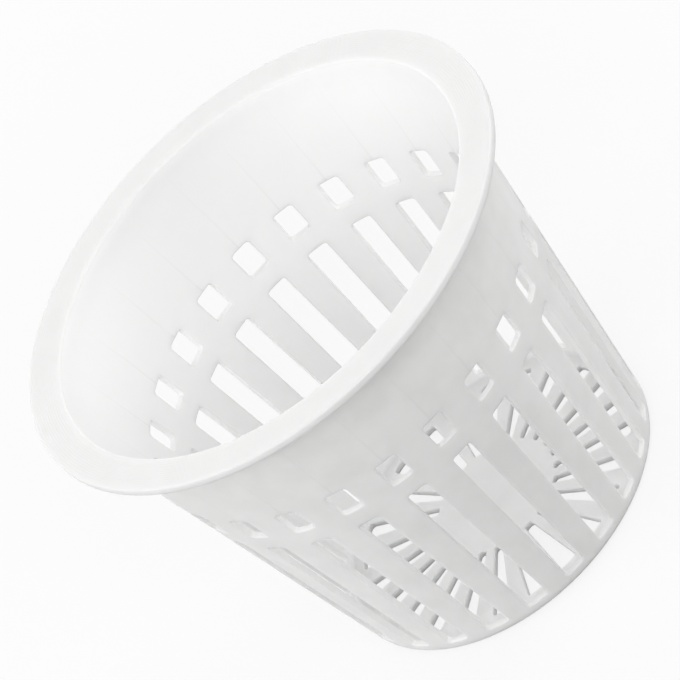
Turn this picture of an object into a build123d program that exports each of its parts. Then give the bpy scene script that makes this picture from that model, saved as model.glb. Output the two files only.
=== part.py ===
"""Hydroponic net pot: one moulded, tapered cup with a flat lip, a slotted wall and a slotted floor.

Units are millimetres. +Z is up, and the origin is the centre of the underside of the floor.
"""
import os
from math import atan2, cos

from build123d import *

# Cup
height = 64.5
base_diameter = 57.0
wall_top_diameter = 76.0
wall_thickness = 1.1
floor_thickness = 1.2

# Lip that hangs the cup in its hole
lip_width = 5.0
lip_thickness = 1.4

# Moulded edges
foot_round = 1.0
mouth_chamfer = 0.5
lip_edge_chamfer = 0.3

# Slots in columns: two rows in the wall, and one in the floor at the foot of each column
slot_count = 24
slot_width = 3.7
sill_height = 0.9
lower_slot_height = 34.3
middle_band_height = 3.6
upper_slot_height = 5.2
floor_slot_angle = 7.3
floor_rim_width = 3.2
hub_diameter = 22.0

# Cutters reach this far past the material that they cut
cut_overrun = 1.0

# Section of the cup, with the wall's thickness taken square to its slope
base_radius = base_diameter / 2
wall_top_radius = wall_top_diameter / 2
lip_radius = wall_top_radius + lip_width
lip_seat_z = height - lip_thickness
wall_slope = (wall_top_radius - base_radius) / lip_seat_z
wall_across = wall_thickness / cos(atan2(wall_slope, 1))
mouth_radius = base_radius + wall_slope * height - wall_across
floor_radius = base_radius + wall_slope * floor_thickness - wall_across

# Heights of the two rows of wall slots
lower_slot_z = floor_thickness + sill_height
upper_slot_z = lower_slot_z + lower_slot_height + middle_band_height

# One column of wall slots, from inside the cup out through the wall
slot_start = floor_radius - cut_overrun
with BuildPart() as wall_slots:
    with BuildSketch(Plane.YZ.offset(slot_start)):
        with Locations((0, lower_slot_z + lower_slot_height / 2)):
            Rectangle(slot_width, lower_slot_height)
        with Locations((0, upper_slot_z + upper_slot_height / 2)):
            Rectangle(slot_width, upper_slot_height)
    extrude(amount=wall_top_radius - slot_start)

# One floor slot, a sector from the hub out to the rim of the floor
with BuildPart() as floor_slot:
    with BuildSketch(Plane.XY.offset(-cut_overrun)):
        with BuildLine():
            first_angle = -floor_slot_angle / 2
            hub_arc = CenterArc((0, 0), hub_diameter / 2, first_angle, floor_slot_angle)
            rim_arc = CenterArc((0, 0), base_radius - floor_rim_width, first_angle, floor_slot_angle)
            Line(hub_arc @ 0, rim_arc @ 0)
            Line(hub_arc @ 1, rim_arc @ 1)
        make_face()
    extrude(amount=floor_thickness + 2 * cut_overrun)


def turned_edges(pot):
    """The round edges of a turned part."""
    return pot.edges().filter_by(GeomType.CIRCLE)


# The pot: its section turned about the axis, its edges eased, then every slot cut through it
with BuildPart() as net_pot:
    with BuildSketch(Plane.XZ):
        with BuildLine():
            Polyline(
                (0, 0),
                (base_radius, 0),
                (wall_top_radius, lip_seat_z),
                (lip_radius, lip_seat_z),
                (lip_radius, height),
                (mouth_radius, height),
                (floor_radius, floor_thickness),
                (0, floor_thickness),
                close=True,
            )
        make_face()
    revolve(axis=Axis.Z)

    fillet(turned_edges(net_pot).group_by(Axis.Z)[0], foot_round)
    chamfer(turned_edges(net_pot).group_by(SortBy.RADIUS)[-1], lip_edge_chamfer)
    top_edges = turned_edges(net_pot).group_by(Axis.Z)[-1]
    chamfer(top_edges.sort_by(SortBy.RADIUS)[0], mouth_chamfer)

    with PolarLocations(0, slot_count):
        add(wall_slots.part, mode=Mode.SUBTRACT)
        add(floor_slot.part, mode=Mode.SUBTRACT)

net_pot.part.label = "net_pot"
os.makedirs("parts", exist_ok=True)
export_step(net_pot.part, "parts/net_pot.step")
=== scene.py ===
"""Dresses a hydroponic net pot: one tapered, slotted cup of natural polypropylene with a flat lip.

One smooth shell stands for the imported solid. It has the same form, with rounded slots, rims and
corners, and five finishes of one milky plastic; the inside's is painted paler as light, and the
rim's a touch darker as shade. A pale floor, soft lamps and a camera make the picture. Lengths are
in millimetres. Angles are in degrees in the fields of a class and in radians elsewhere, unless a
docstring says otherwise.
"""
import logging
from abc import ABC, abstractmethod
from dataclasses import asdict, dataclass, field
from enum import Enum
from math import acos, atan, cos, pi, radians, sin, tan
from typing import ClassVar

import bmesh
import bpy
import numpy as np
from mathutils import Matrix, Vector


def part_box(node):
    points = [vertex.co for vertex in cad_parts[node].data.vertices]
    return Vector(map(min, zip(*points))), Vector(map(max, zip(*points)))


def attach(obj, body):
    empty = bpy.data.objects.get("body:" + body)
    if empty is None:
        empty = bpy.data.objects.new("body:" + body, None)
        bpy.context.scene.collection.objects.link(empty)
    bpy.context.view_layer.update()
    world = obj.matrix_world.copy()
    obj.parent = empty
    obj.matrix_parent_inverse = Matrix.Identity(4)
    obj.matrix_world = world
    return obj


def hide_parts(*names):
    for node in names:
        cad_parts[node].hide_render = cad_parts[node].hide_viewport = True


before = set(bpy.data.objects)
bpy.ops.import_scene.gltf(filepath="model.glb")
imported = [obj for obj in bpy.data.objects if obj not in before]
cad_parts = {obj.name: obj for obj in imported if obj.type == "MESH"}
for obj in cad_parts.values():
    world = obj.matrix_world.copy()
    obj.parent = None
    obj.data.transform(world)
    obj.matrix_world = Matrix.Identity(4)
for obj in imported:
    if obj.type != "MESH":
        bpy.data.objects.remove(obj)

LOG = logging.getLogger("net_pot")

MM = 0.001
CAD_NODE = "net_pot"
BODY = "root"

# Slot columns round the pot, and how finely one column's share of the skin is divided
COLUMNS = 24
HALF_COLUMN = pi / COLUMNS
ACROSS_STEPS = 8
HALF_CORNER_STEPS = 2
EDGE_STEPS = 3
ROUND_STEPS = 5

# Straight run on each side of a lone corner, for each millimetre of its rounding
CORNER_RUN = 2.0

# Shares of the way from a cell's border in to the edge of its slot
BRIDGE = (0.0, 0.45, 0.8)

# Points closer than this are one point of the shell
WELD_REACH = 0.002

# Layers of finer noise in a pattern, and the value about which noise varies
PLAIN_NOISE = 1.0
SOFT_NOISE = 2.0
FINE_NOISE = 3.0
NOISE_MIDDLE = 0.5

WHITE = (1.0, 1.0, 1.0, 1.0)

# What a node's input takes: a source, or a value
Socket = bpy.types.NodeSocket
Source = Socket | float | tuple[float, ...]


class Face(Enum):
    """The five kinds of surface on the shell; the value is the material's place on the mesh."""

    OUTSIDE = 0
    INSIDE = 1
    RIM = 2
    SLOT = 3
    FLOOR = 4


def unit(vectors: np.ndarray) -> np.ndarray:
    """Scales vectors along the last axis to length 1."""
    return vectors / np.linalg.norm(vectors, axis=-1, keepdims=True)


@dataclass(frozen=True)
class Corner:
    """A corner or an end of a path in the pot's section.

    Attributes:
        radius: from the pot's axis.
        height: above the underside of the floor.
        rounding: radius of the corner's round; an end has none.
    """

    radius: float
    height: float
    rounding: float = 0.0

    @property
    def point(self) -> np.ndarray:
        """Radius and height, as one row."""
        return np.array((self.radius, self.height))


def rounded_path(corners: list[Corner]) -> np.ndarray:
    """Rounds the corners of an open path in the pot's section.

    Args:
        corners: the path's first end, its corners and its last end.

    Returns:
        The path as rows of radius and height.
    """
    path = [corners[0].point]
    for before, corner, after in zip(corners, corners[1:], corners[2:]):
        back = unit(before.point - corner.point)
        ahead = unit(after.point - corner.point)
        half = acos(float(back @ ahead)) / 2
        centre = corner.point + unit(back + ahead) * corner.rounding / sin(half)
        reach = corner.rounding / tan(half)
        first = corner.point + back * reach - centre
        last = corner.point + ahead * reach - centre
        sweep = pi - 2 * half
        for share in np.linspace(0, 1, ROUND_STEPS + 1):
            spoke = first * sin((1 - share) * sweep) + last * sin(share * sweep)
            path.append(centre + spoke / sin(sweep))
    path.append(corners[-1].point)
    return np.array(path)


def ring_rows(path: np.ndarray) -> np.ndarray:
    """Turns a path in the section through one column's share of the circle.

    Args:
        path: rows of radius and height.

    Returns:
        Points, one row for each point of the path.
    """
    angles = np.linspace(-HALF_COLUMN, HALF_COLUMN, ACROSS_STEPS + 1)
    radius, height = path[:, :1], path[:, 1:]
    return np.stack((radius * np.cos(angles), radius * np.sin(angles), height + 0 * angles), axis=-1)


@dataclass
class ShellSector:
    """Collects the patches of one column's share of the shell, then turns and welds them into a mesh.

    Attributes:
        points: points of each patch.
        quads: corners of each patch's faces, as numbers of points.
        kinds: kind of surface of each patch's faces.
        count: points so far.
    """

    points: list[np.ndarray] = field(default_factory=list)
    quads: list[np.ndarray] = field(default_factory=list)
    kinds: list[np.ndarray] = field(default_factory=list)
    count: int = 0

    def add(self, rows: np.ndarray, bands: list[Face], closed: bool) -> None:
        """Adds a patch of quads.

        Args:
            rows: points, in rows of equal length.
            bands: the kind of surface between each row and the next.
            closed: whether each row is a closed loop.
        """
        height, width = rows.shape[:2]
        index = self.count + np.arange(height * width).reshape(height, width)
        ahead = np.roll(index, -1, axis=1)
        corners = np.stack((index[:-1], ahead[:-1], ahead[1:], index[1:]), axis=-1)
        if not closed:
            corners = corners[:, :-1]
        self.points.append(rows.reshape(-1, 3))
        self.quads.append(corners.reshape(-1, 4))
        self.kinds.append(np.repeat([band.value for band in bands], corners.shape[1]))
        self.count += height * width

    def add_ring(self, path: np.ndarray, kind: Face) -> None:
        """Adds a turned stretch of the section in one finish."""
        self.add(ring_rows(path), [kind] * (len(path) - 1), closed=False)

    def turned_mesh(self, name: str) -> bpy.types.Mesh:
        """Repeats the sector round the axis and welds the copies.

        Args:
            name: the mesh's name.

        Returns:
            A closed mesh in metres.
        """
        sector = np.vstack(self.points)
        points, quads = [], []
        for column in range(COLUMNS):
            turn = np.array(Matrix.Rotation(2 * HALF_COLUMN * column, 3, "Z"))
            points.append(sector @ turn.T)
            quads.append(np.vstack(self.quads) + column * len(sector))
        mesh = bpy.data.meshes.new(name)
        mesh.from_pydata((np.vstack(points) * MM).tolist(), [], np.vstack(quads).tolist())
        mesh.polygons.foreach_set("material_index", np.tile(np.concatenate(self.kinds), COLUMNS))
        shell = bmesh.new()
        shell.from_mesh(mesh)
        bmesh.ops.remove_doubles(shell, verts=shell.verts, dist=WELD_REACH * MM)
        bmesh.ops.recalc_face_normals(shell, faces=shell.faces)
        shell.to_mesh(mesh)
        shell.free()
        return mesh


def shade_by_area(mesh: bpy.types.Mesh) -> None:
    """Shades each point by its faces, weighted by area, so that flats stay flat beside rounded edges.

    Args:
        mesh: the mesh to shade.
    """
    corner_count = np.zeros(len(mesh.polygons), dtype=np.int32)
    area = np.zeros(len(mesh.polygons))
    facing = np.zeros(len(mesh.polygons) * 3)
    point = np.zeros(len(mesh.loops), dtype=np.int32)
    mesh.polygons.foreach_get("loop_total", corner_count)
    mesh.polygons.foreach_get("area", area)
    mesh.polygons.foreach_get("normal", facing)
    mesh.loops.foreach_get("vertex_index", point)
    pull = np.repeat(facing.reshape(-1, 3) * area[:, None], corner_count, axis=0)
    normals = np.zeros((len(mesh.vertices), 3))
    np.add.at(normals, point, pull)
    mesh.shade_smooth()
    mesh.normals_split_custom_set_from_vertices(unit(normals).tolist())


def side_steps(along_steps: int) -> tuple[int, int, int, int]:
    """Segments on the four sides of a slot or its cell, from its first end round."""
    return ACROSS_STEPS, along_steps, ACROSS_STEPS, along_steps


@dataclass(frozen=True)
class SlotOutline:
    """The outline of one slot, as a closed loop that can be grown evenly.

    Attributes:
        core: points, across and along the skin, from which the outline grows.
        away: unit directions out of the slot at those points.
        corner_round: rounding of the slot's corners.
    """

    core: np.ndarray
    away: np.ndarray
    corner_round: float

    @classmethod
    def from_corners(cls, corners: np.ndarray, corner_round: float, along_steps: int) -> "SlotOutline":
        """Makes a four-sided outline with rounded corners.

        Args:
            corners: four points, anticlockwise from the first end's left corner.
            corner_round: rounding of the corners.
            along_steps: segments along each long side; the ends have as many as a column is wide.

        Returns:
            The outline, which starts in the middle of its first corner.
        """
        edges = np.roll(corners, -1, axis=0) - corners
        normals = unit(np.column_stack((edges[:, 1], -edges[:, 0])))
        before = np.roll(normals, 1, axis=0)
        # The centre of a corner's round lies at the rounding's distance from both of its sides
        opening = 1 + np.sum(before * normals, axis=1, keepdims=True)
        centres = corners - corner_round * (before + normals) / opening
        middles = unit(before + normals)
        bends = np.arange(HALF_CORNER_STEPS) / HALF_CORNER_STEPS
        core, away = [], []
        for side, steps in enumerate(side_steps(along_steps)):
            following = (side + 1) % len(corners)
            straight_steps = steps - 2 * HALF_CORNER_STEPS
            for share in bends:
                core.append(centres[side])
                away.append(middles[side] * (1 - share) + normals[side] * share)
            for share in np.arange(straight_steps) / straight_steps:
                core.append(centres[side] * (1 - share) + centres[following] * share)
                away.append(normals[side])
            for share in bends:
                core.append(centres[following])
                away.append(normals[side] * (1 - share) + middles[following] * share)
        return cls(np.array(core), unit(np.array(away)), corner_round)

    def grown(self, amount: float) -> np.ndarray:
        """The loop at a distance outside the slot's sides."""
        return self.core + self.away * (self.corner_round + amount)


def cell_border(start: float, end: float, along_steps: int) -> np.ndarray:
    """The border of a slot's cell, one column wide, on the unrolled skin.

    Args:
        start: where the cell begins along the skin.
        end: where it ends.
        along_steps: segments along each side.

    Returns:
        A closed loop of angle and place along the skin, in step with the slot's outline.
    """
    corners = np.array(
        [(-HALF_COLUMN, start), (HALF_COLUMN, start), (HALF_COLUMN, end), (-HALF_COLUMN, end)]
    )
    loop = []
    for first, last, steps in zip(corners, np.roll(corners, -1, axis=0), side_steps(along_steps)):
        shares = (np.arange(steps) / steps)[:, None]
        loop.append(first * (1 - shares) + last * shares)
    return np.vstack(loop)


@dataclass(frozen=True)
class CupSection:
    """The turned section of the cup.

    Attributes:
        height: from the underside of the floor to the top of the lip.
        lip_radius: to the outer edge of the lip.
        base_radius: of the wall's outside, at the underside of the floor.
        wall_top_radius: of the wall's outside, under the lip.
        wall_thickness: square to the wall's slope.
        floor_thickness: of the floor.
        lip_thickness: of the lip.
        foot_round: rounding outside, between wall and underside.
        heel_round: rounding inside, between wall and floor.
        mouth_round: rounding between the lip's top and the wall's inside.
        lip_edge_round: rounding of the lip's outer edges.
        lip_seat_round: rounding between the wall's outside and the lip's underside.
        gate_radius: of the recess round the gate, in the middle of the underside.
        gate_depth: of that recess.
        gate_slant: how far its side leans in.
        stub_radius: of the stub that the gate left.
        stub_height: of that stub.
        stub_slant: how far its side leans in.
    """

    height: float
    lip_radius: float
    base_radius: float = 28.5
    wall_top_radius: float = 38.0
    wall_thickness: float = 1.1
    floor_thickness: float = 1.2
    lip_thickness: float = 1.4
    foot_round: float = 1.0
    heel_round: float = 0.5
    mouth_round: float = 0.6
    lip_edge_round: float = 0.32
    lip_seat_round: float = 0.4
    gate_radius: float = 2.6
    gate_depth: float = 0.4
    gate_slant: float = 0.25
    stub_radius: float = 0.8
    stub_height: float = 0.25
    stub_slant: float = 0.12

    @classmethod
    def from_frame(cls) -> "CupSection":
        """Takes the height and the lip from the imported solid.

        Returns:
            The section, inside the solid's box on every side.
        """
        low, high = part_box(CAD_NODE)
        reach = min(high.x, high.y, -low.x, -low.y)
        return cls(height=high.z / MM, lip_radius=reach / MM)

    @property
    def lip_seat(self) -> float:
        """Height of the lip's underside."""
        return self.height - self.lip_thickness

    @property
    def slope(self) -> float:
        """Gain in the wall's radius for each step up."""
        return (self.wall_top_radius - self.base_radius) / self.lip_seat

    def wall_radius(self, height: float | np.ndarray, depth: float = 0.0) -> float | np.ndarray:
        """Radius of the wall at a height, at a depth below its outside and square to it."""
        return self.base_radius + self.slope * height - depth / cos(atan(self.slope))

    def foot(self) -> np.ndarray:
        """Works out the rounded foot.

        Returns:
            A path from the wall's outside to the underside.
        """
        run = CORNER_RUN * self.foot_round
        corners = [
            Corner(self.wall_radius(run), run),
            Corner(self.base_radius, 0, self.foot_round),
            Corner(self.base_radius - run, 0),
        ]
        return rounded_path(corners)[1:-1]

    def heel(self) -> np.ndarray:
        """Works out the rounded corner inside the cup.

        Returns:
            A path from the wall's inside to the top of the floor.
        """
        run = CORNER_RUN * self.heel_round
        top = self.floor_thickness
        radius = self.wall_radius(top, self.wall_thickness)
        corners = [
            Corner(self.wall_radius(top + run, self.wall_thickness), top + run),
            Corner(radius, top, self.heel_round),
            Corner(radius - run, top),
        ]
        return rounded_path(corners)[1:-1]

    def rim(self, start: float) -> tuple[np.ndarray, np.ndarray, np.ndarray]:
        """Works out the smooth wall and the lip.

        Args:
            start: height at which the smooth wall begins.

        Returns:
            Three paths that join: up the outside to the lip's seat, round the lip, and down the inside.
        """
        corners = [
            Corner(self.wall_radius(start), start),
            Corner(self.wall_radius(self.lip_seat), self.lip_seat, self.lip_seat_round),
            Corner(self.lip_radius, self.lip_seat, self.lip_edge_round),
            Corner(self.lip_radius, self.height, self.lip_edge_round),
            Corner(self.wall_radius(self.height, self.wall_thickness), self.height, self.mouth_round),
            Corner(self.wall_radius(start, self.wall_thickness), start),
        ]
        path = rounded_path(corners)
        # The round under the lip belongs to the wall's outside, and the round at the mouth to the lip
        seat = ROUND_STEPS + 1
        mouth = len(path) - 2
        return path[: seat + 1], path[seat : mouth + 1], path[mouth:]

    def gate_mark(self, hub_edge: float) -> np.ndarray:
        """Works out the underside of the hub, with the shallow gate recess and its stub in the middle.

        Args:
            hub_edge: radius at which the hub begins.

        Returns:
            A path from the hub's edge to the axis.
        """
        stub_top = self.gate_depth - self.stub_height
        corners = [
            Corner(hub_edge, 0),
            Corner(self.gate_radius, 0, self.gate_slant / 2),
            Corner(self.gate_radius - self.gate_slant, self.gate_depth, self.gate_slant / 2),
            Corner(self.stub_radius + self.stub_slant, self.gate_depth, self.stub_slant / 2),
            Corner(self.stub_radius, stub_top, self.stub_slant / 2),
            Corner(0, stub_top),
        ]
        return rounded_path(corners)


@dataclass(frozen=True)
class SlottedSkin(ABC):
    """A wall with one column of slots through it, seen as a sheet with its outer face at depth 0.

    Attributes:
        section: the cup that the wall belongs to.
        edge_round: rounding of the slots' edges.
        corner_round: rounding of the slots' corners.
    """

    section: CupSection
    edge_round: float = 0.2
    corner_round: float = 0.55

    outer_kind: ClassVar[Face] = Face.OUTSIDE
    inner_kind: ClassVar[Face] = Face.INSIDE

    @property
    @abstractmethod
    def thickness(self) -> float:
        """Depth of the inner face."""

    @abstractmethod
    def unrolled(self, outline: np.ndarray, depth: float) -> np.ndarray:
        """Turns points across and along the sheet into angle and place along it, at a depth."""

    @abstractmethod
    def placed(self, sheet: np.ndarray, depth: float) -> np.ndarray:
        """Places points of angle and place along the sheet in space, at a depth."""

    def slot_sides(self) -> list[tuple[float, float]]:
        """Works out the section of a slot's side, with both its edges rounded.

        Returns:
            Growth of the outline and depth, from the outer face to the inner one.
        """
        turns = np.linspace(0, pi / 2, EDGE_STEPS + 1)
        edge = [(self.edge_round * (1 - sin(turn)), self.edge_round * (1 - cos(turn))) for turn in turns]
        return edge + [(grow, self.thickness - depth) for grow, depth in reversed(edge)]

    def slot_patch(
        self, sector: ShellSector, outline: SlotOutline, outer: np.ndarray, inner: np.ndarray
    ) -> None:
        """Adds the skin round one slot: the outer face, the slot's rounded sides and the inner face.

        Args:
            sector: the sector that takes the patch.
            outline: the slot.
            outer: border of the slot's cell on the outer face.
            inner: border of its cell on the inner face.
        """
        edge = outline.grown(self.edge_round)
        sides = self.slot_sides()
        rows = []
        for share in BRIDGE:
            sheet = outer * (1 - share) + self.unrolled(edge, 0.0) * share
            rows.append(self.placed(sheet, 0.0))
        for grow, depth in sides:
            rows.append(self.placed(self.unrolled(outline.grown(grow), depth), depth))
        for share in reversed(BRIDGE):
            sheet = inner * (1 - share) + self.unrolled(edge, self.thickness) * share
            rows.append(self.placed(sheet, self.thickness))
        bands = [self.outer_kind] * len(BRIDGE)
        bands += [Face.SLOT] * (len(sides) - 1)
        bands += [self.inner_kind] * len(BRIDGE)
        sector.add(np.array(rows), bands, closed=True)


@dataclass(frozen=True)
class SlottedWall(SlottedSkin):
    """The tapered wall, with a long slot and a short slot in each column.

    Attributes:
        slot_width: of both slots.
        sill_height: from the top of the floor to the long slot.
        lower_slot_height: of the long slot.
        middle_band_height: from the long slot to the short one.
        upper_slot_height: of the short slot.
        cell_margin: from the short slot to the smooth wall.
        lower_steps: segments along the long slot.
        upper_steps: segments along the short slot.
    """

    slot_width: float = 3.7
    sill_height: float = 0.9
    lower_slot_height: float = 34.3
    middle_band_height: float = 3.6
    upper_slot_height: float = 5.2
    cell_margin: float = 2.4
    lower_steps: int = 26
    upper_steps: int = 10

    @property
    def thickness(self) -> float:
        """Thickness of the wall."""
        return self.section.wall_thickness

    @property
    def lower_start(self) -> float:
        """Height at which the long slot begins."""
        return self.section.floor_thickness + self.sill_height

    @property
    def lower_end(self) -> float:
        """Height at which the long slot ends."""
        return self.lower_start + self.lower_slot_height

    @property
    def upper_start(self) -> float:
        """Height at which the short slot begins."""
        return self.lower_end + self.middle_band_height

    @property
    def upper_end(self) -> float:
        """Height at which the short slot ends."""
        return self.upper_start + self.upper_slot_height

    @property
    def smooth_start(self) -> float:
        """Height at which the wall without slots begins."""
        return self.upper_end + self.cell_margin

    def unrolled(self, outline: np.ndarray, depth: float) -> np.ndarray:
        """Finds the angle at a depth, because the slots' sides run straight out through the wall."""
        across, height = outline.T
        return np.column_stack((np.arcsin(across / self.section.wall_radius(height, depth)), height))

    def placed(self, sheet: np.ndarray, depth: float) -> np.ndarray:
        """Places points on the cone.

        Args:
            sheet: rows of angle and height.
            depth: below the wall's outside.

        Returns:
            The points.
        """
        angle, height = sheet.T
        radius = self.section.wall_radius(height, depth)
        return np.column_stack((radius * np.cos(angle), radius * np.sin(angle), height))

    def outline(self, start: float, end: float, along_steps: int) -> SlotOutline:
        """Works out the outline of one slot of the wall.

        Args:
            start: height of its lower end.
            end: height of its upper end.
            along_steps: segments along each side.

        Returns:
            A rounded rectangle.
        """
        half = self.slot_width / 2
        corners = np.array([(-half, start), (half, start), (half, end), (-half, end)])
        return SlotOutline.from_corners(corners, self.corner_round, along_steps)

    def build(self, sector: ShellSector) -> None:
        """Adds one column of the wall, from the foot to the smooth wall.

        Args:
            sector: the sector that takes the patches.
        """
        band = (self.lower_end + self.upper_start) / 2
        lower = self.outline(self.lower_start, self.lower_end, self.lower_steps)
        outer = cell_border(self.section.foot()[0, 1], band, self.lower_steps)
        inner = cell_border(self.section.heel()[0, 1], band, self.lower_steps)
        self.slot_patch(sector, lower, outer, inner)
        upper = self.outline(self.upper_start, self.upper_end, self.upper_steps)
        border = cell_border(band, self.smooth_start, self.upper_steps)
        self.slot_patch(sector, upper, border, border)


@dataclass(frozen=True)
class SlottedFloor(SlottedSkin):
    """The flat floor, with a ring of slots round a plain hub.

    Attributes:
        slot_angle: of one slot, seen from the axis.
        rim_width: from the slots' outer ends to the foot of the wall.
        hub_radius: of the hub, at the slots' inner ends.
        cell_margin: from the slots' inner ends to the hub's patch.
        along_steps: segments along each slot.
        hub_steps: segments from the hub's patch to the axis.
    """

    slot_angle: float = 7.3
    rim_width: float = 3.2
    hub_radius: float = 11.0
    cell_margin: float = 1.6
    along_steps: int = 14
    hub_steps: int = 3

    outer_kind: ClassVar[Face] = Face.FLOOR
    inner_kind: ClassVar[Face] = Face.FLOOR

    @property
    def thickness(self) -> float:
        """Thickness of the floor."""
        return self.section.floor_thickness

    def unrolled(self, outline: np.ndarray, depth: float) -> np.ndarray:
        """Finds the angle, which is the same at any depth."""
        across, radius = outline.T
        return np.column_stack((across / radius, radius))

    def placed(self, sheet: np.ndarray, depth: float) -> np.ndarray:
        """Places points on the floor, at a height above its underside."""
        angle, radius = sheet.T
        return np.column_stack((radius * np.cos(angle), radius * np.sin(angle), depth + 0 * radius))

    def build(self, sector: ShellSector) -> None:
        """Adds one column of the floor and its share of the hub.

        Args:
            sector: the sector that takes the patches.
        """
        half = radians(self.slot_angle) / 2
        end = self.section.base_radius - self.rim_width
        reach = np.array([self.hub_radius, self.hub_radius, end, end])
        corners = np.column_stack((reach * half * (-1, 1, 1, -1), reach))
        outline = SlotOutline.from_corners(corners, self.corner_round, self.along_steps)
        hub_edge = self.hub_radius - self.cell_margin
        outer = cell_border(hub_edge, self.section.foot()[-1, 0], self.along_steps)
        inner = cell_border(hub_edge, self.section.heel()[-1, 0], self.along_steps)
        self.slot_patch(sector, outline, outer, inner)
        sector.add_ring(self.section.gate_mark(hub_edge), Face.FLOOR)
        inward = np.linspace(hub_edge, 0, self.hub_steps + 1)
        sector.add_ring(np.column_stack((inward, 0 * inward + self.thickness)), Face.FLOOR)


@dataclass
class NodeSketch:
    """Adds and links nodes in one tree.

    Attributes:
        tree: the tree.
    """

    tree: bpy.types.NodeTree

    @classmethod
    def clear(cls, owner: bpy.types.Material | bpy.types.World) -> "NodeSketch":
        """Starts on an empty tree.

        Args:
            owner: the material or world that owns the tree.

        Returns:
            The sketch.
        """
        owner.use_nodes = True
        owner.node_tree.nodes.clear()
        return cls(owner.node_tree)

    def node(
        self, kind: str, inputs: dict[str | int, Source] | None = None, **settings: object
    ) -> bpy.types.Node:
        """Adds a node.

        Args:
            kind: the node's type.
            inputs: source or value of each of its inputs, by name or number.
            settings: its other properties.

        Returns:
            The new node.
        """
        made = self.tree.nodes.new(kind)
        for name, value in settings.items():
            setattr(made, name, value)
        for name, value in (inputs or {}).items():
            if isinstance(value, Socket):
                self.tree.links.new(value, made.inputs[name])
            else:
                made.inputs[name].default_value = value
        return made

    def maths(self, operation: str, *terms: Source, clamp: bool = False) -> Socket:
        """Adds a Math node.

        Args:
            operation: the node's operation.
            terms: its sources or values.
            clamp: whether the result stays between 0 and 1.

        Returns:
            The result.
        """
        inputs = dict(enumerate(terms))
        return self.node("ShaderNodeMath", inputs, operation=operation, use_clamp=clamp).outputs[0]

    def vector(self, operation: str, *terms: Source, output: str = "Vector", **others: Source) -> Socket:
        """Adds a Vector Math node.

        Args:
            operation: the node's operation.
            terms: its vectors.
            output: name of the result.
            others: its other inputs, by name.

        Returns:
            The result.
        """
        inputs = {**dict(enumerate(terms)), **others}
        return self.node("ShaderNodeVectorMath", inputs, operation=operation).outputs[output]

    def noise(self, place: Source, size: Source, detail: float = SOFT_NOISE) -> Socket:
        """Adds noise.

        Args:
            place: the point.
            size: width of the noise's patches.
            detail: layers of finer noise in it.

        Returns:
            A value about the noise's middle.
        """
        scale = self.maths("DIVIDE", 1.0, size)
        inputs = {"Vector": place, "Scale": scale, "Detail": detail}
        return self.node("ShaderNodeTexNoise", inputs).outputs[0]

    def ranged(self, value: Source, *limits: Source, smooth: bool = False) -> Socket:
        """Maps a value from one range to another.

        Args:
            value: the value.
            limits: from lowest, from highest, to lowest and to highest.
            smooth: whether the change is eased.

        Returns:
            The result.
        """
        inputs = {"Value": value}
        inputs.update(zip(("From Min", "From Max", "To Min", "To Max"), limits))
        kind = "SMOOTHSTEP" if smooth else "LINEAR"
        return self.node("ShaderNodeMapRange", inputs, interpolation_type=kind).outputs["Result"]

    def blend(self, share: Source, first: Source, second: Source) -> Socket:
        """Blends two colours.

        Args:
            share: of the second colour.
            first: the first colour.
            second: the second colour.

        Returns:
            The colour.
        """
        inputs = {"Factor": share, "A": first, "B": second}
        return self.node("ShaderNodeMix", inputs, data_type="RGBA").outputs["Result"]


@dataclass
class GroupSketch(NodeSketch):
    """Adds and links nodes in one group.

    Attributes:
        given: the group's inputs.
        place: the point on the pot, in millimetres.
    """

    given: bpy.types.bpy_prop_collection
    place: Socket

    def flat_place(self) -> Socket:
        """The point, brought down to the floor."""
        return self.vector("MULTIPLY", self.place, (1.0, 1.0, 0.0))

    def split_place(self) -> bpy.types.bpy_prop_collection:
        """The point's X, Y and Z."""
        return self.node("ShaderNodeSeparateXYZ", {0: self.place}).outputs


@dataclass(frozen=True)
class SurfaceEffect(ABC):
    """A pattern of the moulded skin: one node group for all finishes, with the fields as its inputs."""

    output: ClassVar[str] = "Height"
    output_kind: ClassVar[str] = "NodeSocketFloat"

    def group(self) -> bpy.types.NodeTree:
        """Makes the node group, or finds it once it has been made.

        Returns:
            The group.
        """
        name = type(self).__name__
        if name in bpy.data.node_groups:
            return bpy.data.node_groups[name]
        tree = bpy.data.node_groups.new(name, "ShaderNodeTree")
        for label, value in asdict(self).items():
            kind = "NodeSocketColor" if isinstance(value, tuple) else "NodeSocketFloat"
            tree.interface.new_socket(label, in_out="INPUT", socket_type=kind)
        tree.interface.new_socket(self.output, in_out="OUTPUT", socket_type=self.output_kind)
        sketch = NodeSketch(tree)
        given = sketch.node("NodeGroupInput").outputs
        metres = sketch.node("ShaderNodeTexCoord").outputs["Object"]
        place = sketch.vector("SCALE", metres, Scale=1 / MM)
        pattern = self.draw(GroupSketch(tree, given, place))
        sketch.node("NodeGroupOutput", {self.output: pattern})
        return tree

    @abstractmethod
    def draw(self, sketch: GroupSketch) -> Socket:
        """Draws the pattern.

        Args:
            sketch: the group's nodes.

        Returns:
            The pattern.
        """

    def put(self, sketch: NodeSketch) -> Socket:
        """Places the group in a material, with this effect's own values.

        Args:
            sketch: the material's nodes.

        Returns:
            The group's output.
        """
        placed = sketch.node("ShaderNodeGroup", node_tree=self.group())
        for label, value in asdict(self).items():
            placed.inputs[label].default_value = value
        return placed.outputs[self.output]


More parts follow.
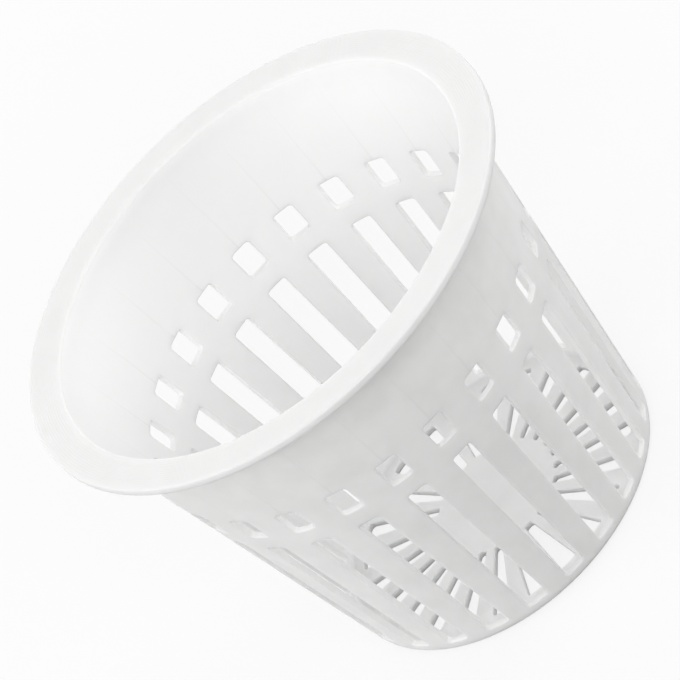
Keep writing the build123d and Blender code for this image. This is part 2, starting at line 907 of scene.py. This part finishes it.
@dataclass(frozen=True)
class MouldGrain(SurfaceEffect):
    """The fine even grain of the mould's steel, as a height.

    Attributes:
        size: width of the grain.
        pool_size: width of the coarser grain under it.
        pool_share: strength of the coarser grain.
    """

    size: float = 0.35
    pool_size: float = 1.3
    pool_share: float = 0.6

    def draw(self, sketch: GroupSketch) -> Socket:
        """Draws fine noise over a coarser one.

        Args:
            sketch: the group's nodes.

        Returns:
            The height.
        """
        fine = sketch.noise(sketch.place, sketch.given["size"])
        coarse = sketch.noise(sketch.place, sketch.given["pool_size"])
        return sketch.maths("MULTIPLY_ADD", coarse, sketch.given["pool_share"], fine)


@dataclass(frozen=True)
class DrawLines(SurfaceEffect):
    """Faint lines along the way in which the pot was drawn out of its mould, as a height.

    Attributes:
        width: of a line, in radians round the pot.
        length: of a line up the wall.
    """

    width: float = 0.03
    length: float = 22.0

    def draw(self, sketch: GroupSketch) -> Socket:
        """Draws noise that is fine round the pot and long up its wall.

        Args:
            sketch: the group's nodes.

        Returns:
            The height.
        """
        spoke = sketch.vector("NORMALIZE", sketch.flat_place())
        lengths = sketch.maths("DIVIDE", sketch.split_place()["Z"], sketch.given["length"])
        rise = sketch.maths("MULTIPLY", lengths, sketch.given["width"])
        lift = sketch.node("ShaderNodeCombineXYZ", {"Z": rise}).outputs[0]
        return sketch.noise(sketch.vector("ADD", spoke, lift), sketch.given["width"], FINE_NOISE)


@dataclass(frozen=True)
class WeldLines(SurfaceEffect):
    """The hair lines where the melt closed again above each column of slots, as a mask.

    Attributes:
        start: height at which they begin.
        end: height at which they have faded out.
        width: half width of a line, as a share of a column.
        waver: how far a line strays, as a share of a column.
        waver_size: length of its bends.
    """

    start: float
    end: float
    width: float = 0.03
    waver: float = 0.05
    waver_size: float = 6.0

    output: ClassVar[str] = "Mask"

    def draw(self, sketch: GroupSketch) -> Socket:
        """Draws one upright line for each column, fading out as it rises.

        Args:
            sketch: the group's nodes.

        Returns:
            The mask.
        """
        given, place = sketch.given, sketch.split_place()
        bends = sketch.noise(sketch.place, given["waver_size"], PLAIN_NOISE)
        sway = sketch.maths("MULTIPLY", sketch.maths("SUBTRACT", bends, NOISE_MIDDLE), given["waver"])
        turn = sketch.maths("DIVIDE", sketch.maths("ARCTAN2", place["Y"], place["X"]), 2 * HALF_COLUMN)
        column = sketch.maths("ADD", turn, sway)
        aside = sketch.maths("ABSOLUTE", sketch.maths("SUBTRACT", column, sketch.maths("ROUND", column)))
        line = sketch.maths("SUBTRACT", 1.0, sketch.maths("DIVIDE", aside, given["width"]), clamp=True)
        begun = sketch.maths("GREATER_THAN", place["Z"], given["start"])
        left = sketch.ranged(place["Z"], given["start"], given["end"], 1.0, 0.0)
        return sketch.maths("MULTIPLY", line, sketch.maths("MULTIPLY", left, begun))


@dataclass(frozen=True)
class TurnedRings(SurfaceEffect):
    """Fine rings left on flat faces by the lathe that cut the mould, as a height.

    Attributes:
        spacing: from ring to ring.
        patch: rings between one depth and the next.
    """

    spacing: float = 0.42
    patch: float = 2.5

    def draw(self, sketch: GroupSketch) -> Socket:
        """Draws rings about the axis, uneven in depth.

        Args:
            sketch: the group's nodes.

        Returns:
            The height.
        """
        radius = sketch.vector("LENGTH", sketch.flat_place(), output="Value")
        count = sketch.maths("DIVIDE", radius, sketch.given["spacing"])
        ring = sketch.maths("SINE", sketch.maths("MULTIPLY", count, 2 * pi))
        depth = sketch.noise(count, sketch.given["patch"], PLAIN_NOISE)
        return sketch.maths("MULTIPLY", ring, depth)


@dataclass(frozen=True)
class MilkyCloud(SurfaceEffect):
    """The uneven milkiness of unpigmented resin, as a colour.

    Attributes:
        pale: colour where the resin is clearest.
        deep: colour where it is milkiest.
        cloud_size: width of its clouds.
        wisp_size: width of the wisps in them.
        wisp_share: strength of the wisps.
    """

    pale: tuple[float, float, float, float]
    deep: tuple[float, float, float, float]
    cloud_size: float = 19.0
    wisp_size: float = 4.4
    wisp_share: float = 0.45

    output: ClassVar[str] = "Colour"
    output_kind: ClassVar[str] = "NodeSocketColor"
    contrast: ClassVar[tuple[float, float]] = (0.36, 0.64)

    def draw(self, sketch: GroupSketch) -> Socket:
        """Blends the two colours by two sizes of soft noise.

        Args:
            sketch: the group's nodes.

        Returns:
            The colour.
        """
        given = sketch.given
        cloud = sketch.noise(sketch.place, given["cloud_size"])
        wisp = sketch.noise(sketch.place, given["wisp_size"])
        change = sketch.maths("SUBTRACT", wisp, cloud)
        mixed = sketch.maths("MULTIPLY_ADD", change, given["wisp_share"], cloud)
        share = sketch.ranged(mixed, *self.contrast, 0.0, 1.0, smooth=True)
        return sketch.blend(share, given["pale"], given["deep"])


@dataclass(frozen=True)
class GlossPatches(SurfaceEffect):
    """Soft patches of more and less polish, as a roughness.

    Attributes:
        least: roughness where the polish is best.
        most: roughness where it is dullest.
        patch_size: width of the patches.
    """

    least: float
    most: float
    patch_size: float = 7.0

    output: ClassVar[str] = "Roughness"
    contrast: ClassVar[tuple[float, float]] = (0.33, 0.67)

    def draw(self, sketch: GroupSketch) -> Socket:
        """Maps soft noise to a range of roughness.

        Args:
            sketch: the group's nodes.

        Returns:
            The roughness.
        """
        given = sketch.given
        patches = sketch.noise(sketch.place, given["patch_size"], FINE_NOISE)
        return sketch.ranged(patches, *self.contrast, given["least"], given["most"], smooth=True)


@dataclass(frozen=True)
class ResinFinish:
    """One finish of the milky plastic.

    Attributes:
        name: the material's name.
        pale: tone where the resin is clearest; on the inside it is raised as painted light, and on the
            rim lowered a touch as painted shade.
        deep: tone where it is milkiest, raised and lowered in the same way.
        gloss: lowest and highest roughness.
        grain: depth of the mould's grain, as a share of the relief.
        lines: depth of the draw lines.
        rings: depth of the turned rings.
        welds: depth of the weld lines.
    """

    name: str
    pale: float
    deep: float
    gloss: tuple[float, float]
    grain: float = 0.1
    lines: float = 0.0
    rings: float = 0.0
    welds: float = 0.0

    tint: ClassVar[tuple[float, float, float]] = (1.0, 1.0, 0.994)
    weld_tone: ClassVar[float] = 0.78
    weld_stain: ClassVar[float] = 0.4
    relief_depth: ClassVar[float] = 0.05
    refraction: ClassVar[float] = 1.49
    glow_reach: ClassVar[float] = 1.4
    glow_tint: ClassVar[tuple[float, float, float]] = (1.0, 1.0, 0.97)

    def resin(self, tone: float) -> tuple[float, float, float, float]:
        """The resin's colour at a tone."""
        return (*(share * tone for share in self.tint), 1.0)

    def colour(self, sketch: NodeSketch, weld: Socket | None) -> Socket:
        """Clouds the resin, and darkens it a little along the weld lines.

        Args:
            sketch: the material's nodes.
            weld: mask of the weld lines, where the finish has them.

        Returns:
            The colour.
        """
        cloud = MilkyCloud(self.resin(self.pale), self.resin(self.deep)).put(sketch)
        if weld is None:
            return cloud
        stain = sketch.maths("MULTIPLY", weld, self.weld_stain)
        return sketch.blend(stain, cloud, self.resin(self.weld_tone))

    def relief(self, sketch: NodeSketch, weld: Socket | None) -> Socket:
        """Adds up the finish's patterns.

        Args:
            sketch: the material's nodes.
            weld: mask of the weld lines, where the finish has them.

        Returns:
            The height, as a share of the relief's depth.
        """
        height = sketch.maths("MULTIPLY", MouldGrain().put(sketch), self.grain)
        if self.lines:
            height = sketch.maths("MULTIPLY_ADD", DrawLines().put(sketch), self.lines, height)
        if self.rings:
            height = sketch.maths("MULTIPLY_ADD", TurnedRings().put(sketch), self.rings, height)
        if weld is not None:
            height = sketch.maths("MULTIPLY_ADD", weld, -self.welds, height)
        return height

    def material(self, weld_span: tuple[float, float]) -> bpy.types.Material:
        """Makes the finish.

        Args:
            weld_span: heights between which weld lines show.

        Returns:
            A material with one Principled shader.
        """
        made = bpy.data.materials.new(self.name)
        sketch = NodeSketch.clear(made)
        weld = WeldLines(*weld_span).put(sketch) if self.welds else None
        bump = {"Height": self.relief(sketch, weld), "Distance": self.relief_depth * MM}
        plastic = sketch.node(
            "ShaderNodeBsdfPrincipled",
            {
                "Base Color": self.colour(sketch, weld),
                "Roughness": GlossPatches(*self.gloss).put(sketch),
                "Normal": sketch.node("ShaderNodeBump", bump).outputs["Normal"],
                "IOR": self.refraction,
                "Subsurface Weight": 1.0,
                "Subsurface Radius": self.glow_tint,
                "Subsurface Scale": self.glow_reach * MM,
            },
        )
        sketch.node("ShaderNodeOutputMaterial", {"Surface": plastic.outputs["BSDF"]})
        return made


FINISHES: dict[Face, ResinFinish] = {
    Face.OUTSIDE: ResinFinish(
        "satin_outside", pale=0.885, deep=0.84, gloss=(0.36, 0.46), lines=0.16, welds=0.5
    ),
    # Painted light: the inside is the same resin as the outside, made paler to stand in for the light
    # inside the cup.
    Face.INSIDE: ResinFinish(
        "polished_inside_painted_light", pale=0.96, deep=0.945, gloss=(0.29, 0.33), grain=0.04, lines=0.03, welds=0.3
    ),
    # Painted shade: the rim's tone is set a touch darker to damp the light on its flat top.
    Face.RIM: ResinFinish(
        "turned_rim_painted_shade", pale=0.88, deep=0.86, gloss=(0.32, 0.4), rings=0.3
    ),
    Face.SLOT: ResinFinish(
        "slot_edges", pale=0.89, deep=0.85, gloss=(0.4, 0.52), grain=0.2, lines=0.15
    ),
    Face.FLOOR: ResinFinish(
        "turned_floor", pale=0.915, deep=0.88, gloss=(0.3, 0.4), grain=0.08, rings=0.15
    ),
}


@dataclass(frozen=True)
class NetPot:
    """The whole pot: section, slotted wall and slotted floor in one moulding.

    Attributes:
        section: the turned section.
        wall: the slotted wall.
        floor: the slotted floor.
        piece_name: name of the shell.
    """

    section: CupSection
    wall: SlottedWall
    floor: SlottedFloor
    piece_name: str = "net_pot_shell"

    @classmethod
    def from_frame(cls) -> "NetPot":
        """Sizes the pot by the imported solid."""
        section = CupSection.from_frame()
        return cls(section, SlottedWall(section), SlottedFloor(section))

    def build(self) -> bpy.types.Object:
        """Builds the shell.

        Returns:
            The shell's object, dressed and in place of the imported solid.
        """
        sector = ShellSector()
        self.wall.build(sector)
        self.floor.build(sector)
        outside, lip, inside = self.section.rim(self.wall.smooth_start)
        sector.add_ring(outside, Face.OUTSIDE)
        sector.add_ring(lip, Face.RIM)
        sector.add_ring(inside, Face.INSIDE)
        sector.add_ring(self.section.foot(), Face.OUTSIDE)
        sector.add_ring(self.section.heel(), Face.INSIDE)
        mesh = sector.turned_mesh(self.piece_name)
        shade_by_area(mesh)
        shell = bpy.data.objects.new(self.piece_name, mesh)
        bpy.context.scene.collection.objects.link(shell)
        self.dress(shell)
        return shell

    def dress(self, shell: bpy.types.Object) -> None:
        """Gives the shell its finishes and its place in the frame.

        Args:
            shell: the shell's object.
        """
        weld_span = (self.wall.upper_end, self.section.lip_seat)
        for face in Face:
            shell.data.materials.append(FINISHES[face].material(weld_span))
        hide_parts(CAD_NODE)
        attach(shell, BODY)


def bearing(azimuth: float, elevation: float) -> Vector:
    """The direction from the pot to something that stands round it.

    Args:
        azimuth: turn to the right of the pot's front, in degrees.
        elevation: height above the horizon, in degrees.

    Returns:
        A unit vector.
    """
    turn, tilt = radians(azimuth), radians(elevation)
    return Vector((sin(turn) * cos(tilt), -cos(turn) * cos(tilt), sin(tilt)))


@dataclass(frozen=True)
class SoftLamp:
    """A square soft lamp that faces the pot, whose gloss shows the white sky and not the lamp.

    Attributes:
        name: the lamp's name.
        azimuth: turn to the right of the pot's front.
        elevation: height above the horizon.
        level: brightness that it gives to a white face turned to it.
        width: its side.
        distance: from the pot.
    """

    name: str
    azimuth: float
    elevation: float
    level: float
    width: float = 900.0
    distance: float = 1300.0

    def build(self, target: Vector) -> bpy.types.Object:
        """Adds the lamp.

        Args:
            target: the point that it faces, in metres.

        Returns:
            The lamp's object.
        """
        data = bpy.data.lights.new(self.name, "AREA")
        data.size = self.width * MM
        # A white face at distance d from a lamp of power P has the brightness P / (pi * d) ** 2
        data.energy = self.level * (pi * self.distance * MM) ** 2
        lamp = bpy.data.objects.new(self.name, data)
        away = bearing(self.azimuth, self.elevation)
        lamp.location = target + away * self.distance * MM
        lamp.rotation_euler = (-away).to_track_quat("-Z", "Y").to_euler()
        lamp.visible_glossy = False
        bpy.context.scene.collection.objects.link(lamp)
        return lamp


@dataclass(frozen=True)
class Studio:
    """A white floor, which is clear from below to show the pot's underside, and soft light.

    Attributes:
        floor_width: side of the floor.
        floor_drop: gap under the pot.
        floor_tone: how pale the floor is to the pot.
        floor_seen_tone: how pale it is to the camera.
        floor_white: share of plain white in the floor to the camera; the rest takes the shadow.
        floor_fade: distances from the pot between which the floor turns all white to the camera.
        sky: strength of the even light from all round.
        lamps: the lamps.
    """

    floor_width: float = 8000.0
    floor_drop: float = 0.05
    floor_tone: float = 0.36
    floor_seen_tone: float = 0.9
    floor_white: float = 0.76
    floor_fade: tuple[float, float] = (120.0, 420.0)
    sky: float = 0.5
    lamps: tuple[SoftLamp, ...] = (
        SoftLamp("front_softbox", azimuth=-5, elevation=38, level=0.4),
        SoftLamp("left_softbox", azimuth=-100, elevation=18, level=0.43),
        SoftLamp("right_softbox", azimuth=100, elevation=18, level=0.41),
        SoftLamp("back_softbox", azimuth=180, elevation=14, level=0.26),
    )

    def seen(self, sketch: NodeSketch) -> Socket:
        """Marks the rays that show the background: straight to the camera, or by way of the object.

        Args:
            sketch: the nodes of the floor or the sky.

        Returns:
            1 for such a ray, else 0.
        """
        path = sketch.node("ShaderNodeLightPath").outputs
        straight = sketch.maths("MAXIMUM", path["Is Camera Ray"], path["Is Glossy Ray"])
        return sketch.maths("MAXIMUM", straight, path["Is Transmission Ray"])

    def floor_material(self) -> bpy.types.Material:
        """Makes the floor's finish.

        Returns:
            A matte white that takes shadows, with plain white over it to the camera, clear from below.
        """
        made = bpy.data.materials.new("floor_white")
        sketch = NodeSketch.clear(made)
        seen = self.seen(sketch)
        tone = sketch.ranged(seen, 0.0, 1.0, self.floor_tone, self.floor_seen_tone)
        matte = sketch.node("ShaderNodeBsdfDiffuse", {"Color": tone}).outputs[0]
        white = sketch.node("ShaderNodeEmission").outputs[0]
        place = sketch.node("ShaderNodeTexCoord").outputs["Object"]
        away = sketch.maths("DIVIDE", sketch.vector("LENGTH", place, output="Value"), MM)
        fade = sketch.ranged(away, *self.floor_fade, self.floor_white, 1.0, smooth=True)
        share = sketch.maths("MULTIPLY", seen, fade)
        above = sketch.node("ShaderNodeMixShader", {0: share, 1: matte, 2: white}).outputs[0]
        below = sketch.node("ShaderNodeBsdfTransparent").outputs[0]
        underneath = sketch.node("ShaderNodeNewGeometry").outputs["Backfacing"]
        sided = sketch.node("ShaderNodeMixShader", {0: underneath, 1: above, 2: below}).outputs[0]
        sketch.node("ShaderNodeOutputMaterial", {"Surface": sided})
        return made

    def build_floor(self) -> bpy.types.Object:
        """Lays the floor.

        Returns:
            The floor's object.
        """
        half = self.floor_width / 2 * MM
        level = -self.floor_drop * MM
        corners = [(-half, -half, level), (half, -half, level), (half, half, level), (-half, half, level)]
        mesh = bpy.data.meshes.new("floor")
        mesh.from_pydata(corners, [], [(0, 1, 2, 3)])
        mesh.materials.append(self.floor_material())
        floor = bpy.data.objects.new("floor", mesh)
        bpy.context.scene.collection.objects.link(floor)
        return floor

    def build_sky(self) -> None:
        """Makes the world white to the camera and evenly lit to the pot."""
        world = bpy.data.worlds.new("studio")
        sketch = NodeSketch.clear(world)
        strength = sketch.ranged(self.seen(sketch), 0.0, 1.0, self.sky, 1.0)
        light = sketch.node("ShaderNodeBackground", {"Color": WHITE, "Strength": strength})
        sketch.node("ShaderNodeOutputWorld", {"Surface": light.outputs[0]})
        bpy.context.scene.world = world

    def build(self, target: Vector) -> list[bpy.types.Object]:
        """Sets up the floor, the sky and the lamps.

        Args:
            target: the point that the lamps face, in metres.

        Returns:
            The floor and the lamps.
        """
        self.build_sky()
        return [self.build_floor()] + [lamp.build(target) for lamp in self.lamps]


@dataclass(frozen=True)
class PhotoCamera:
    """The camera, at the photograph's viewing angle and rolled as it was.

    Attributes:
        azimuth: turn to the right of the pot's front.
        elevation: height of the view above the horizon.
        roll: turn of the picture, anticlockwise.
        distance: from the aim point.
        aim_height: height of the aim point on the pot's axis.
        lens: focal length.
    """

    azimuth: float = -1.8
    elevation: float = 34.15
    roll: float = 45.0
    distance: float = 804.0
    aim_height: float = 42.7
    lens: float = 280.0

    @property
    def aim(self) -> Vector:
        """The aim point, in metres."""
        return Vector((0, 0, self.aim_height * MM))

    def build(self) -> bpy.types.Object:
        """Adds the camera and makes it the scene's.

        Returns:
            The camera's object.
        """
        back = bearing(self.azimuth, self.elevation)
        facing = (-back).to_track_quat("-Z", "Y").to_matrix().to_4x4()
        data = bpy.data.cameras.new("photo_camera")
        data.lens = self.lens
        camera = bpy.data.objects.new("photo_camera", data)
        place = Matrix.Translation(self.aim + back * self.distance * MM)
        camera.matrix_world = place @ facing @ Matrix.Rotation(radians(-self.roll), 4, "Z")
        bpy.context.scene.collection.objects.link(camera)
        bpy.context.scene.camera = camera
        return camera


def main() -> None:
    """Builds the pot, the studio and the camera, and notes the shell's faces and points."""
    logging.basicConfig(level=logging.INFO, format="%(name)s: %(message)s")
    bpy.context.scene.view_settings.view_transform = "Standard"
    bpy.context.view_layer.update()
    shell = NetPot.from_frame().build()
    LOG.info("%s: %d faces, %d points", shell.name, len(shell.data.polygons), len(shell.data.vertices))
    camera = PhotoCamera()
    for thing in Studio().build(camera.aim):
        LOG.info("%s is in place", thing.name)
    LOG.info("%s is in place", camera.build().name)
    bpy.context.view_layer.update()


if __name__ == "__main__":
    main()
